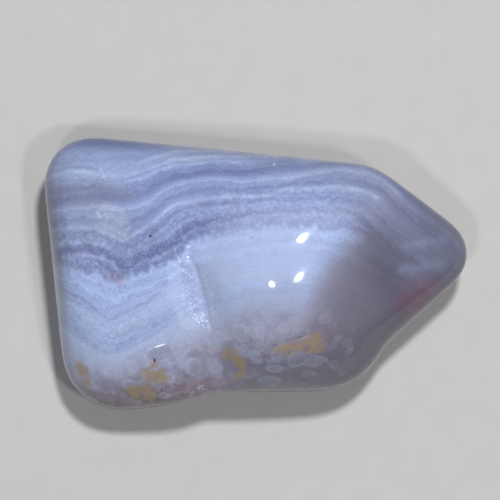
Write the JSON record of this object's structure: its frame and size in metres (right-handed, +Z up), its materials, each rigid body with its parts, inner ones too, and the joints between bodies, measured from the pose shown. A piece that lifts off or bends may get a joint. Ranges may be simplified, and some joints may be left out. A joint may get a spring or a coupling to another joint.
{
  "type": "tumbled chalcedony pebble",
  "caption": "Tumbled pebble of pale blue lace-banded chalcedony: a slab, a rounded dome beyond a sharp crease, and a blunt nose.",
  "frame": {"origin": "on the resting plane, under the middle of the stone's bounding box", "axes": "+X along the length towards the blunt nose, +Y towards the long straight back side, +Z up, as the stone rests"},
  "size_m": [0.028, 0.018, 0.0117],
  "materials": {
    "chalcedony": "translucent lavender-blue lace-banded chalcedony, tumbled to a high polish"
  },
  "bodies": {
    "root": {"chalcedony_pebble": "chalcedony"}
  },
  "joints": []
}
